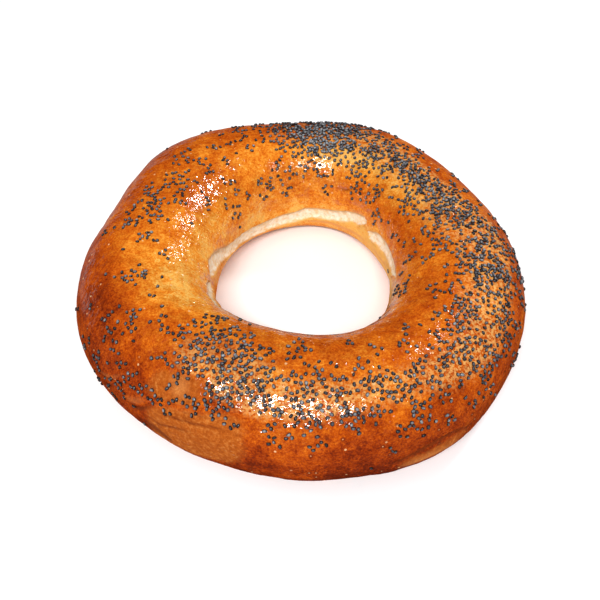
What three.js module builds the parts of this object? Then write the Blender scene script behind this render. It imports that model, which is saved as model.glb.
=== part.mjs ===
// A ring-shaped bread roll (bagel) with a poppy seed top, standing on its flat underside.
//
// Millimetres, +Z up. The origin is the middle of the underside, on the surface the ring rests on.
// The dough is rolled into a rope, its ends are joined, and the ring is baked in one piece, so it is one
// closed solid: a section that is carried round the hole while its width and height change a little.

import * as THREE from 'three';
import { ParametricGeometry } from 'three/addons/geometries/ParametricGeometry.js';

// A lobe is a soft bulge that comes back `count` times round the ring: `depth` mm high, the first at `at` degrees.
// Degrees run anticlockwise seen from above, from +X.

// Outer edge of the ring, seen from above.
const OUTER_RADIUS = 55.5;
const OUTER_LOBES = [
  { count: 2, depth: 1.2, at: 125 },
  { count: 3, depth: 0.6, at: 90 },
  { count: 4, depth: 0.65, at: 40 },
  { count: 5, depth: 0.95, at: 61 },
  { count: 6, depth: 0.7, at: 9 },
  { count: 7, depth: 0.2, at: 20 },
];

// Edge of the hole, seen from above.
const HOLE_RADIUS = 24.3;
const HOLE_LOBES = [
  { count: 1, depth: 1.5, at: 39 },
  { count: 2, depth: 2.0, at: 91 },
  { count: 3, depth: 0.9, at: 80 },
  { count: 4, depth: 0.2, at: 32 },
  { count: 5, depth: 0.3, at: 7 },
];

// Height of the crown above the surface the ring rests on.
const CROWN_HEIGHT = 28.2;
const CROWN_LOBES = [
  { count: 1, depth: 0.4, at: 300 },
  { count: 3, depth: 0.35, at: 20 },
];

// The section. Its belly, where it is widest, is below the middle, and the underside is pressed flat.
const BELLY_SHARE = 0.45; // height of the belly, as a share of the crown height
const SIDE_FULLNESS = 0.92; // below 1 the sides are fuller than an ellipse
const CROWN_FULLNESS = 0.95; // the same for the crown
const BASE_FULLNESS = 0.75; // the same for the underside
const BASE_PRESS = 1.12; // how far the underside would reach, before it is pressed flat, as a share of the belly

// Faces round the ring and round the section.
const STEPS_ROUND_RING = 76;
const STEPS_ROUND_SECTION = 30;

const FULL_TURN = 2 * Math.PI;

// A distance that changes round the ring: its mean and the sum of its lobes.
function lobed(mean, lobes, turn) {
  return lobes.reduce(
    (sum, { count, depth, at }) => sum + depth * Math.cos(count * (turn - THREE.MathUtils.degToRad(at))),
    mean,
  );
}

// |value| to a power, with the sign kept.
function roundedPower(value, power) {
  return Math.sign(value) * Math.abs(value) ** power;
}

// Height of the crust at section angle `around`: 0 is the outer belly, a quarter turn the crown, half a turn the hole.
function crustHeight(around, crown) {
  const belly = BELLY_SHARE * crown;
  const rise = Math.sin(around);
  if (rise >= 0) return belly + (crown - belly) * rise ** CROWN_FULLNESS;
  return Math.max(0, belly * (1 - BASE_PRESS * (-rise) ** BASE_FULLNESS));
}

// A point of the crust. Both shares run from 0 to 1, and 1 gives the same point as 0, so that the surface closes.
function crustPoint(ringShare, sectionShare, target) {
  const turn = FULL_TURN * (ringShare % 1);
  const around = FULL_TURN * (sectionShare % 1);
  const outer = lobed(OUTER_RADIUS, OUTER_LOBES, turn);
  const hole = lobed(HOLE_RADIUS, HOLE_LOBES, turn);
  const crown = lobed(CROWN_HEIGHT, CROWN_LOBES, turn);
  const reach = (outer + hole) / 2 + ((outer - hole) / 2) * roundedPower(Math.cos(around), SIDE_FULLNESS);
  target.set(reach * Math.cos(turn), reach * Math.sin(turn), crustHeight(around, crown));
}

// The ring's solid, with the middle of its footprint on the origin.
function makeRingGeometry() {
  const geometry = new ParametricGeometry(crustPoint, STEPS_ROUND_RING, STEPS_ROUND_SECTION);
  geometry.computeBoundingBox();
  const middle = geometry.boundingBox.getCenter(new THREE.Vector3());
  return geometry.translate(-middle.x, -middle.y, 0);
}

// Baked crust: a glossy orange brown.
function makeCrustMaterial() {
  return new THREE.MeshStandardMaterial({ color: 0xc96a1f, roughness: 0.35, metalness: 0 });
}

const bagel = new THREE.Group();
const ring = new THREE.Mesh(makeRingGeometry(), makeCrustMaterial());
ring.name = 'baked_ring';
bagel.add(ring);

export default bagel;
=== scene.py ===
"""A ring-shaped poppy seed bagel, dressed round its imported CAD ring.

Metres, +Z up, with the middle of the footprint on the origin. A place on the crust is given by two
angles in degrees: the turn runs anticlockwise round the ring, seen from above, from +X, and the around
angle runs round the section, with 0 at the outer belly, 90 on the crown, 180 on the hole's wall and 270
on the flat underside.
"""

import logging
import math
from dataclasses import dataclass, field
from enum import Enum
from itertools import product

import bpy
import numpy as np
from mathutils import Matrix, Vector
from mathutils.kdtree import KDTree


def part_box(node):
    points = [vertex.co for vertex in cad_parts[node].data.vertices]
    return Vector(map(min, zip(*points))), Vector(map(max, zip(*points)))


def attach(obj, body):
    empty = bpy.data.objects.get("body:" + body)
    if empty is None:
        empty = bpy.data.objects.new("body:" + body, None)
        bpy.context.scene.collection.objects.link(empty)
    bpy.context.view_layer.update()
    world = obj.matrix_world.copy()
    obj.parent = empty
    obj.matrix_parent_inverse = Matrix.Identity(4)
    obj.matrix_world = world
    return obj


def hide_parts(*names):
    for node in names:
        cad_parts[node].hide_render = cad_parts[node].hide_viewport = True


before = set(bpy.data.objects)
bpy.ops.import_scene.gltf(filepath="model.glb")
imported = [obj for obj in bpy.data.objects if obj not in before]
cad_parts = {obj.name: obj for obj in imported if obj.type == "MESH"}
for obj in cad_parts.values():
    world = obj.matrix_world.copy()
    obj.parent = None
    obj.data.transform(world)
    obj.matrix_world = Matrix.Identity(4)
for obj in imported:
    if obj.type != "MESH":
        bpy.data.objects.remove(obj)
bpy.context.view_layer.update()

LOG = logging.getLogger("bagel")
MM = 0.001
FULL_TURN = 360.0
CAD_NODE = "baked_ring"
BODY = "root"
BAKE_MAP = "OFBake"


class Slot(Enum):
    """Names of the two material slots; the crust's and the seeds' materials carry the same names."""

    CRUST = "glazed_crust"
    SEED = "poppy_seed"


class Field(Enum):
    """What the crust's mesh tells its finish at each vertex, as float attributes."""

    BAKE = "bake"
    TEAR = "tear"
    TEAR_SIDE = "tear_side"
    MATTE = "matte"
    BED = "seed_bed"
    BASE = "base"
    BLISTER = "blister"
    GLAZE = "glaze"
    CREASE = "crease"


class SeedField(Enum):
    """What a seed's mesh tells its finish at each vertex, as float attributes."""

    TONE = "tone"
    # How low on the seed each vertex is. It sets the painted highlight on the crown, the painted shade on
    # the side, and the dark rim of glaze and painted shade.
    GLAZE_AND_SHADE_RIM = "rim"


# ---------------------------------------------------------------- helpers


def ease(value: np.ndarray, low: float, high: float) -> np.ndarray:
    """Rises smoothly from 0 at low to 1 at high: 3t^2 - 2t^3 of the share t of the way.

    Args:
        value: The numbers to ease.
        low: Where the rise starts.
        high: Where it ends. It may be below low, and then the curve falls.

    Returns:
        Numbers from 0 to 1, in value's shape.
    """
    share = np.clip((value - low) / (high - low), 0.0, 1.0)
    return share * share * (3.0 - 2.0 * share)


def turn_gap(turn: np.ndarray, middle: float) -> np.ndarray:
    """The signed difference of two angles in degrees, from -180 to 180."""
    return (turn - middle + 180.0) % FULL_TURN - 180.0


def dough_noise(points: np.ndarray, cell: float, seed: int) -> np.ndarray:
    """Smooth gradient noise: each corner of a cubic lattice has a random slope, and the slopes are blended.

    Args:
        points: Places, with x, y, z last, in metres.
        cell: Edge of the lattice's cubes, in metres.
        seed: Picks the random slopes.

    Returns:
        About -1 to 1, one number for each place.
    """
    size = 32
    slopes = np.random.default_rng(seed).normal(size=(size, size, size, 3))
    slopes /= np.linalg.norm(slopes, axis=-1, keepdims=True)
    scaled = points / cell + 7.3
    low = np.floor(scaled).astype(int)
    share = scaled - low
    blend = share**3 * (share * (share * 6.0 - 15.0) + 10.0)
    total = np.zeros(points.shape[:-1])
    for corner in product((0, 1), repeat=3):
        weight = np.prod(np.where(corner, blend, 1.0 - blend), axis=-1)
        at = (low + corner) % size
        slope = slopes[at[..., 0], at[..., 1], at[..., 2]]
        total += weight * np.sum(slope * (share - corner), axis=-1)
    return total * 1.6


def rounded_power(value: np.ndarray, power: float) -> np.ndarray:
    """The size of a number to a power, with the number's sign kept."""
    return np.sign(value) * np.abs(value) ** power


def make_piece(name: str, points: np.ndarray, faces: np.ndarray) -> bpy.types.Object:
    """Puts a surface into a smooth-shaded mesh object at the origin.

    Args:
        name: The piece's name.
        points: Vertex places, one row each, in metres.
        faces: Vertex numbers, one row a face, all with the same number of corners.

    Returns:
        The new object, linked to the scene.
    """
    mesh = bpy.data.meshes.new(name)
    corners = faces.shape[1]
    mesh.vertices.add(len(points))
    mesh.vertices.foreach_set("co", points.astype(np.float32).ravel())
    mesh.loops.add(faces.size)
    mesh.loops.foreach_set("vertex_index", faces.astype(np.int32).ravel())
    mesh.polygons.add(len(faces))
    mesh.polygons.foreach_set("loop_start", np.arange(0, faces.size, corners, dtype=np.int32))
    mesh.polygons.foreach_set("use_smooth", np.ones(len(faces), dtype=bool))
    mesh.update(calc_edges=True)
    mesh.validate()
    piece = bpy.data.objects.new(name, mesh)
    bpy.context.scene.collection.objects.link(piece)
    return piece


def store_field(piece: bpy.types.Object, name: str, values: np.ndarray) -> None:
    """Stores one float for each vertex of a piece.

    Args:
        piece: The mesh object.
        name: Name of the attribute.
        values: One number for each vertex.
    """
    layer = piece.data.attributes.new(name, "FLOAT", "POINT")
    layer.data.foreach_set("value", values.astype(np.float32).ravel())


def store_map(piece: bpy.types.Object, corners: np.ndarray) -> None:
    """Stores a piece's UV map, with one row (u, v) for each face corner."""
    layer = piece.data.uv_layers.new(name=BAKE_MAP)
    layer.data.foreach_set("uv", corners.astype(np.float32).ravel())


class Board:
    """A material's node tree, with a method for each kind of node that the finishes use."""

    def __init__(self, name: str) -> None:
        """Makes a material with an empty Principled shader.

        Args:
            name: The material's name.
        """
        self.material = bpy.data.materials.new(name)
        self.material.use_nodes = True
        self.tree = self.material.node_tree
        self.tree.nodes.clear()
        self.shader = self.tree.nodes.new("ShaderNodeBsdfPrincipled")
        output = self.tree.nodes.new("ShaderNodeOutputMaterial")
        self.join(self.shader.outputs["BSDF"], output.inputs["Surface"])
        self.place = self.tree.nodes.new("ShaderNodeTexCoord").outputs["Object"]

    def join(self, source: object, target: bpy.types.NodeSocket) -> None:
        """Links a socket to an input, or sets the input where the source is a plain value."""
        if isinstance(source, bpy.types.NodeSocket):
            self.tree.links.new(source, target)
        else:
            target.default_value = source

    def field(self, name: str) -> bpy.types.NodeSocket:
        """A float attribute of the mesh."""
        node = self.tree.nodes.new("ShaderNodeAttribute")
        node.attribute_name = name
        return node.outputs["Fac"]

    def math(self, operation: str, first: object, second: object) -> bpy.types.NodeSocket:
        """A Math node.

        Args:
            operation: Blender's name for the operation.
            first: A socket or a number.
            second: A socket or a number.

        Returns:
            The result's socket.
        """
        node = self.tree.nodes.new("ShaderNodeMath")
        node.operation = operation
        for source, target in zip((first, second), node.inputs):
            self.join(source, target)
        return node.outputs[0]

    def plus(self, first: object, second: object) -> bpy.types.NodeSocket:
        """The sum of two sockets or numbers."""
        return self.math("ADD", first, second)

    def times(self, first: object, second: object) -> bpy.types.NodeSocket:
        """The product of two sockets or numbers."""
        return self.math("MULTIPLY", first, second)

    def noise(self, size: float, detail: float = 2.0, rough: float = 0.5) -> bpy.types.NodeSocket:
        """Noise whose lumps are about `size` metres, from 0 to 1.

        Args:
            size: Width of the lumps in metres.
            detail: How many finer layers are added.
            rough: Strength of each finer layer.

        Returns:
            The noise's socket.
        """
        node = self.tree.nodes.new("ShaderNodeTexNoise")
        node.inputs["Scale"].default_value = 1.0 / size
        node.inputs["Detail"].default_value = detail
        node.inputs["Roughness"].default_value = rough
        self.join(self.place, node.inputs["Vector"])
        return node.outputs["Fac"]

    def wobble(self, size: float, swing: float, detail: float = 3.0) -> bpy.types.NodeSocket:
        """Noise about 0, whose lumps are about `size` metres and whose swing is the given one."""
        return self.times(self.math("SUBTRACT", self.noise(size, detail), 0.5), swing)

    def uneven(self, name: str, size: float, swing: float) -> bpy.types.NodeSocket:
        """A float attribute of the mesh, with a wobble that makes its edges uneven."""
        return self.plus(self.field(name), self.wobble(size, swing))

    def cells(self, size: float) -> tuple:
        """Scattered spots, one in each cell of about `size` metres.

        Args:
            size: Width of the cells in metres.

        Returns:
            The sockets of the distance to the nearest spot, in cells, and of that cell's random colour.
        """
        node = self.tree.nodes.new("ShaderNodeTexVoronoi")
        node.inputs["Scale"].default_value = 1.0 / size
        self.join(self.place, node.inputs["Vector"])
        return node.outputs["Distance"], node.outputs["Color"]

    def rise(
        self, value: object, low: float, high: float, start: float = 0.0, end: float = 1.0
    ) -> bpy.types.NodeSocket:
        """Eases a value from start at low to end at high.

        Args:
            value: The socket to read.
            low: Where the change starts.
            high: Where it ends.
            start: The result at low.
            end: The result at high.

        Returns:
            The result's socket.
        """
        node = self.tree.nodes.new("ShaderNodeMapRange")
        node.interpolation_type = "SMOOTHSTEP"
        for number, target in zip((value, low, high, start, end), node.inputs):
            self.join(number, target)
        return node.outputs["Result"]

    def ramp(self, value: object, stops: tuple) -> bpy.types.NodeSocket:
        """A colour that follows a value.

        Args:
            value: The socket to read.
            stops: Pairs of a place from 0 to 1 and a linear colour.

        Returns:
            The colour's socket.
        """
        node = self.tree.nodes.new("ShaderNodeValToRGB")
        self.join(value, node.inputs["Fac"])
        elements = node.color_ramp.elements
        while len(elements) < len(stops):
            elements.new(0.5)
        for element, (at, colour) in zip(elements, stops):
            element.position = at
            element.color = (*colour, 1.0)
        return node.outputs["Color"]

    def mix(self, share: object, first: object, second: object) -> bpy.types.NodeSocket:
        """Blends two colours.

        Args:
            share: How much of the second, from 0 to 1.
            first: A socket or a linear colour.
            second: A socket or a linear colour.

        Returns:
            The colour's socket.
        """
        node = self.tree.nodes.new("ShaderNodeMix")
        node.data_type = "RGBA"
        node.clamp_factor = True
        self.join(share, node.inputs[0])
        for colour, target in ((first, node.inputs[6]), (second, node.inputs[7])):
            self.join(colour if isinstance(colour, bpy.types.NodeSocket) else (*colour, 1.0), target)
        return node.outputs[2]

    def bump(self, height: object, depth: float, under: object = None) -> bpy.types.NodeSocket:
        """Tilts the surface by a height.

        Args:
            height: The socket of the height, from 0 to 1.
            depth: How high 1 is, in metres.
            under: The normal of the coarser relief beneath, or None.

        Returns:
            The normal's socket.
        """
        node = self.tree.nodes.new("ShaderNodeBump")
        node.inputs["Distance"].default_value = depth
        self.join(height, node.inputs["Height"])
        if under is not None:
            self.join(under, node.inputs["Normal"])
        return node.outputs["Normal"]


# ---------------------------------------------------------------- the ring's form


@dataclass(frozen=True)
class Lobe:
    """A soft bulge that comes back round the ring.

    Attributes:
        count: How many times it comes.
        depth: How far it stands out, in mm.
        at: The turn of the first one, in degrees.
    """

    count: int
    depth: float
    at: float


@dataclass(frozen=True)
class Patch:
    """A soft-edged oval on the crust.

    Attributes:
        turn: Its middle round the ring, in degrees.
        around: Its middle round the section, in degrees.
        turn_spread: Its half length round the ring, in degrees.
        around_spread: Its half length round the section, in degrees.
        amount: Its strength in the middle.
        lean: Degrees that its middle climbs round the section for each degree round the ring.
    """

    turn: float
    around: float
    turn_spread: float
    around_spread: float
    amount: float
    lean: float = 0.0

    def reach(self, turn: np.ndarray, around: np.ndarray) -> tuple:
        """How far places are from the middle, in half lengths, along each way."""
        along = turn_gap(turn, self.turn)
        across = turn_gap(around, self.around) - self.lean * along
        return along / self.turn_spread, across / self.around_spread

    def bell(self, turn: np.ndarray, around: np.ndarray) -> np.ndarray:
        """A bell: the amount times e to minus half the squared reach."""
        along, across = self.reach(turn, around)
        return self.amount * np.exp(-0.5 * (along**2 + across**2))

    def plate(self, turn: np.ndarray, around: np.ndarray, soft: float = 0.3) -> np.ndarray:
        """A flat-topped patch with rounded corners: the amount inside, easing to 0 at its edge."""
        along, across = self.reach(turn, around)
        distance = (along**4 + across**4) ** 0.25
        return self.amount * ease(distance, 1.0 + soft, 1.0 - soft)


@dataclass(frozen=True)
class Stroke:
    """A ridge or a crease along a path on the crust.

    Attributes:
        path: Its points, each a turn and an around angle.
        width: Half its width, in mm.
        height: Its height in mm, below 0 for a crease.
        tone: How much darker it makes the bake, painted shade in a crease; below 0 it makes it paler, partly
            the dough's own pale and partly a painted highlight on a ridge.
    """

    path: tuple
    width: float
    height: float
    tone: float = 0.0


@dataclass
class RingForm:
    """The bare ring: a section carried round the hole, with the sizes of the CAD solid, in mm.

    Both grids run once round and don't repeat their first row. Rows round the section lie closer on the
    crown and the hole's wall than on the flat underside.

    Attributes:
        outer_radius: Mean reach of the belly from the hole's axis.
        outer_lobes: How the belly's reach changes round the ring.
        hole_radius: Mean reach of the hole's wall.
        hole_lobes: How the wall's reach changes round the ring.
        crown_height: Mean height of the crown.
        crown_lobes: How the crown's height changes round the ring.
        belly_share: The belly's height, as a share of the crown's.
        side_fullness: Power of the section's cosine.
        crown_fullness: Power of its sine above the belly.
        base_fullness: Power of its sine below the belly.
        base_press: How deep it would go below the belly, were the underside not flat, in belly heights.
        steps_round_ring: Grid lines round the ring.
        fine_rows: Grid rows from fine_start to fine_end round the section.
        coarse_rows: Grid rows on the rest of it.
        fine_start: Around angle of the first fine row, in degrees.
        fine_end: Around angle where the coarse rows begin, in degrees.
    """

    outer_radius: float = 55.5
    outer_lobes: tuple = (
        Lobe(2, 1.2, 125),
        Lobe(3, 0.6, 90),
        Lobe(4, 0.65, 40),
        Lobe(5, 0.95, 61),
        Lobe(6, 0.7, 9),
        Lobe(7, 0.2, 20),
    )
    hole_radius: float = 24.3
    hole_lobes: tuple = (
        Lobe(1, 1.5, 39),
        Lobe(2, 2.0, 91),
        Lobe(3, 0.9, 80),
        Lobe(4, 0.2, 32),
        Lobe(5, 0.3, 7),
    )
    crown_height: float = 28.2
    crown_lobes: tuple = (Lobe(1, 0.4, 300), Lobe(3, 0.35, 20))
    belly_share: float = 0.45
    side_fullness: float = 0.92
    crown_fullness: float = 0.95
    base_fullness: float = 0.75
    base_press: float = 1.12
    steps_round_ring: int = 600
    fine_rows: int = 134
    coarse_rows: int = 26
    fine_start: float = -45.0
    fine_end: float = 213.0

    def turns(self) -> np.ndarray:
        """The turn of each grid line round the ring, in degrees."""
        return np.arange(self.steps_round_ring) * FULL_TURN / self.steps_round_ring

    def arounds(self) -> np.ndarray:
        """The around angle of each grid row, in degrees: the fine rows, then the underside's coarse ones."""
        fine = np.linspace(self.fine_start, self.fine_end, self.fine_rows, endpoint=False)
        coarse = np.linspace(self.fine_end, self.fine_start + FULL_TURN, self.coarse_rows, endpoint=False)
        return np.concatenate([fine, coarse])

    @staticmethod
    def lobed(mean: float, lobes: tuple, turn: np.ndarray) -> np.ndarray:
        """A distance that changes round the ring: its mean and the sum of its lobes' cosines."""
        waves = [lobe.depth * np.cos(lobe.count * np.radians(turn - lobe.at)) for lobe in lobes]
        return mean + sum(waves)

    def points(self, turn: np.ndarray, around: np.ndarray) -> np.ndarray:
        """Places on the bare ring.

        The reach from the hole's axis is the middle of the dough plus half its width times the cosine of
        the around angle, and the height is the belly plus its sine times the rise to the crown. Powers
        just below 1 fill the section out, and whatever would sink below the underside is pressed flat.

        Args:
            turn: Angles round the ring, in degrees.
            around: Angles round the section, in degrees, in a shape that goes with turn's.

        Returns:
            Places in mm, with x, y, z last, before they are centred.
        """
        outer = self.lobed(self.outer_radius, self.outer_lobes, turn)
        hole = self.lobed(self.hole_radius, self.hole_lobes, turn)
        crown = self.lobed(self.crown_height, self.crown_lobes, turn)
        belly = self.belly_share * crown
        rise = np.sin(np.radians(around))
        side = rounded_power(np.cos(np.radians(around)), self.side_fullness)
        above = belly + (crown - belly) * np.abs(rise) ** self.crown_fullness
        below = np.maximum(0.0, belly * (1.0 - self.base_press * np.abs(rise) ** self.base_fullness))
        reach = (outer + hole) / 2.0 + (outer - hole) / 2.0 * side
        height = np.where(rise >= 0.0, above, below)
        heading = np.radians(turn)
        return np.stack([reach * np.cos(heading), reach * np.sin(heading), height], axis=-1)

    def centred(self, turn: np.ndarray, around: np.ndarray) -> np.ndarray:
        """Places on the bare ring in metres, with the middle of its footprint on the CAD node's."""
        low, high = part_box(CAD_NODE)
        rim = self.points(self.turns(), np.zeros(self.steps_round_ring))
        shift = (np.array(low) + np.array(high)) / 2.0 - (rim.max(axis=0) + rim.min(axis=0)) / 2.0 * MM
        shift[2] = 0.0
        return self.points(turn, around) * MM + shift


def grid_normals(points: np.ndarray) -> np.ndarray:
    """Outward unit normals of a closed grid: the cross product of its two central differences."""
    along = np.roll(points, -1, axis=0) - np.roll(points, 1, axis=0)
    across = np.roll(points, -1, axis=1) - np.roll(points, 1, axis=1)
    normals = np.cross(along, across)
    return normals / np.maximum(np.linalg.norm(normals, axis=-1, keepdims=True), 1e-12)


@dataclass
class Tear:
    """The pale split that opened in the crust round the hole's wall as the dough rose.

    Attributes:
        outline: Its middle line, as a turn, an around angle and the width there in mm.
        depth: How deep its floor lies, in mm.
        opening: Half widths in mm between which the tear deepens from nothing to its full depth.
        walls: Where its walls start and end, as shares of its half width.
        upper_lip: The crust's edge above it: its height, how far off it is and its half width, in mm.
        lower_lip: The same for the edge below it.
    """

    outline: tuple = (
        (-12, 161, 0.0), (-5, 167, 2.6), (10, 173, 3.8), (22, 175, 4.2), (34, 178, 4.2), (41, 181, 2.8),
        (44, 180, 0.0), (45.5, 172, 0.6), (48, 173, 2.8), (53, 177, 3.8), (64, 182, 4.0), (75, 187, 4.0),
        (87, 189, 4.2), (93, 194, 4.5), (112, 196, 4.8), (139, 188, 4.2), (156, 180, 4.4), (170, 170, 4.8),
        (181, 165, 4.8), (187, 164, 2.4), (190, 164, 0.0), (194, 164, 0.0), (198, 163, 3.2), (213, 154, 3.6),
        (221, 146, 2.4), (229, 137, 0.0),
    )
    depth: float = 0.75
    opening: tuple = (0.1, 0.9)
    walls: tuple = (1.2, 0.6)
    upper_lip: tuple = (0.2, 0.55, 0.7)
    lower_lip: tuple = (0.3, 0.35, 0.5)

    def measure(self, turn: np.ndarray, around: np.ndarray, arc: np.ndarray) -> tuple:
        """How far each place lies below the tear's middle line, and half the tear's width there.

        Args:
            turn: Turn of each grid line, in degrees.
            around: Around angle of each grid row, in degrees.
            arc: Length round the section up to each grid place, in mm.

        Returns:
            Two grids in mm.
        """
        turns, middles, widths = np.array(self.outline, dtype=float).T
        heading = turn_gap(turn, (turns[0] + turns[-1]) / 2.0) + (turns[0] + turns[-1]) / 2.0
        middle = np.interp(heading, turns, middles)
        width = np.interp(heading, turns, widths, left=0.0, right=0.0)
        row = np.interp(middle, around, np.arange(len(around)))
        low = np.floor(row).astype(int)
        lines = np.arange(len(turn))
        arc_middle = arc[lines, low] * (1.0 - row + low) + arc[lines, low + 1] * (row - low)
        return arc - arc_middle[:, None], np.broadcast_to(width[:, None] / 2.0, arc.shape)

    def relief(self, below: np.ndarray, half: np.ndarray) -> np.ndarray:
        """The groove and its two lips: a flat-bottomed dip between two bells at its edges.

        Args:
            below: How far each grid place lies below the middle line, in mm.
            half: Half the tear's width there, in mm.

        Returns:
            The height of each grid place, in mm.
        """
        open_share = ease(half, *self.opening)
        groove = -self.depth * open_share * ease(np.abs(below) / np.maximum(half, 0.05), *self.walls)
        height, off, width = self.upper_lip
        upper = height * open_share * np.exp(-(((below + half + off) / width) ** 2))
        height, off, width = self.lower_lip
        lower = height * open_share * np.exp(-(((below - half - off) / width) ** 2))
        return groove + upper + lower


@dataclass
class BakedRing:
    """The bagel itself: dough baked in one piece, with its relief and the fields that its finish reads.

    Attributes:
        form: The bare ring.
        tear: The split round the hole.
        name: The piece's name.
        lumps: Pairs of a lump's width and its height, in mm.
        lump_seed: Picks the lumps.
        matte_press: How far the matte patches are pressed in, in mm.
        relief_fade: Heights in mm between which the relief grows from nothing at the underside.
        base_fade: Heights in mm between which the sides turn into the underside.
        base_reach: How far the underside goes from its middle, in degrees round the section.
        dimple: Height and width in mm of the dimples in the underside.
        dimple_seed: Picks the dimples.
        strokes: The creases, ridges and folds.
        matte_patches: Where the dough touched its neighbours.
        bake_start: How dark the crust is before patches and streaks.
        bake_patches: Darker and, below 0, paler places.
        streak: Strength of the brush's streaks.
        streak_degrees: Their width round the section.
        blotch: Strength of the blotches.
        blotch_width: Their width in mm.
        glaze_start: Around angle where the egg wash starts, low on the outer side.
        glaze_full: Around angle from which it is full.
        glaze_end: Around angle where it ends on the hole's wall.
        glaze_fade: Degrees over which it ends there.
        glaze_least: How much of it there is everywhere.
        dull_patches: Where it is thin.
        blister_middle: Around angle in the middle of the blistered band.
        blister_below: Degrees from it between which blisters come in, below it.
        blister_above: Degrees from it between which they end, above it.
        turns: The turn of each grid place, in degrees.
        arounds: The around angle of each grid place, in degrees.
        points: The finished crust's grid, in metres.
        normals: Its unit normals.
        bake: How dark it baked, from 0 to 1.
        matte: The share of the matte patches.
        open_tear: How far inside the tear each place is, in mm, below 0 outside it.
        tear_side: How far it is across the tear, in half widths.
        base: The share of the underside.
        crease: How much the strokes darken it with painted shade in their creases, or make it paler below 0,
            partly its own pale and partly a painted highlight on ridges.
    """

    form: RingForm = field(default_factory=RingForm)
    tear: Tear = field(default_factory=Tear)
    name: str = "glazed_ring"
    lumps: tuple = ((22.0, 0.45), (10.0, 0.20), (4.5, 0.10), (2.2, 0.06))
    lump_seed: int = 40
    matte_press: float = 0.15
    relief_fade: tuple = (0.5, 6.0)
    base_fade: tuple = (1.6, 0.2)
    base_reach: float = 70.0
    dimple: tuple = (0.12, 3.0)
    dimple_seed: int = 60
    strokes: tuple = (
        Stroke(((46, 194), (60, 199), (74, 202), (88, 205)), 0.8, -0.15, -0.40),
        Stroke(((16, 188), (28, 192), (42, 194)), 0.6, -0.10, -0.30),
        Stroke(((86, 148), (86, 165), (85, 182)), 0.7, -0.28, -0.10),
        Stroke(((106, 120), (105, 140), (103, 157)), 0.6, -0.14, -0.12),
        Stroke(((146, 62), (141, 72), (136, 80)), 0.45, 0.28, -0.12),
        Stroke(((171, 46), (168, 53), (167, 60)), 0.45, 0.25, -0.15),
        Stroke(((69, 155), (64, 152), (59, 148)), 0.45, -0.4, 0.22),
        Stroke(((70, 148), (63, 145), (55, 143)), 2.2, 0.5),
        Stroke(((62, 163), (57, 156), (54, 147)), 1.5, 0.4),
        Stroke(((201, 152), (207, 160), (212, 163)), 0.4, -0.25, 0.35),
        Stroke(((210, 143), (216, 150), (221, 152)), 0.4, -0.2, 0.3),
        Stroke(((214, 8), (218, 13), (221, 19), (225, 33)), 0.7, 0.3, -0.10),
        Stroke(((226, -2), (230, 5), (234, 19)), 0.6, -0.6, 0.3),
        Stroke(((225, 9), (229, 14), (233, 25)), 1.3, 0.5, -0.1),
        Stroke(((235, 15), (240, 18), (247, 22), (254, 26)), 0.4, -0.16, 0.3),
        Stroke(((232, 3), (236, 1), (240, 7), (245, 12)), 0.4, -0.16, 0.3),
        Stroke(((241, 27), (246, 30), (251, 31)), 0.35, -0.1, 0.18),
        Stroke(((231, -4), (235, -8), (239, -13)), 1.5, -0.25, 0.35),
        Stroke(((257, 35), (260, 29), (264, 31), (270, 39)), 0.5, 0.35),
        Stroke(((290, -7), (296, -2), (301, 0), (306, 0), (312, -4)), 0.5, -0.7, 0.6),
        Stroke(((291, -13), (299, -9), (308, -11)), 1.3, 0.5, -0.13),
        Stroke(((286, -22), (300, -20), (316, -22)), 4.5, 0.8),
        Stroke(((289, 32), (291, 22), (293, 9)), 0.7, -0.2, 0.08),
        Stroke(((237, 42), (240, 47), (243, 51)), 3.5, 0.0, -0.12),
        Stroke(((309, 36), (310, 42), (311, 48)), 0.5, 0.25, -0.05),
    )
    matte_patches: tuple = (
        Patch(245, 7, 12.5, 25, 1.0, lean=0.9),
        Patch(239, 44, 7.5, 13, 0.75, lean=0.6),
        Patch(301, -9, 9, 6.0, 0.6, lean=0.2),
    )
    bake_start: float = 0.45
    bake_patches: tuple = (
        Patch(205, 112, 24, 22, -0.26),
        Patch(198, 12, 28, 30, 0.18),
        Patch(278, -8, 42, 26, 0.28),
        Patch(275, -36, 66, 14, 0.18),
        Patch(222, 2, 12, 26, 0.08),
        Patch(350, 187, 38, 11, -0.70),
        Patch(330, 158, 18, 16, -0.26),
        Patch(14, 146, 26, 14, 0.08),
        Patch(75, 90, 30, 16, 0.07),
        Patch(45, 165, 30, 22, 0.10),
        Patch(152, 117, 18, 14, 0.15),
        Patch(210, 70, 20, 20, 0.07),
        Patch(135, 48, 32, 18, 0.07),
        Patch(194, 32, 26, 34, 0.08),
        Patch(0, 146, 24, 14, 0.10),
        Patch(180, 150, 26, 18, -0.16),
        Patch(75, 118, 30, 14, -0.08),
        Patch(300, 120, 16, 16, 0.05),
        Patch(330, 0, 20, 20, -0.10),
        Patch(272, 38, 26, 16, 0.09),
        Patch(280, -14, 30, 18, 0.08),
        Patch(266, -52, 24, 24, 0.10),
        Patch(84, 122, 16, 12, -0.07),
        Patch(74, 80, 18, 20, 0.10),
        Patch(160, 95, 16, 14, -0.12),
        Patch(215, 48, 18, 22, 0.12),
        Patch(85, 195, 85, 26, -0.36),
        Patch(150, 140, 34, 22, -0.14),
        Patch(50, 120, 28, 16, -0.26),
        Patch(330, 122, 26, 18, 0.03),
        Patch(0, 10, 40, 34, 0.26),
        Patch(125, 60, 30, 16, 0.10),
    )
    streak: float = 0.05
    streak_degrees: float = 28.0
    blotch: float = 0.045
    blotch_width: float = 13.0
    glaze_start: float = -12.0
    glaze_full: float = 42.0
    glaze_end: float = 185.0
    glaze_fade: float = 40.0
    glaze_least: float = 0.03
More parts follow.
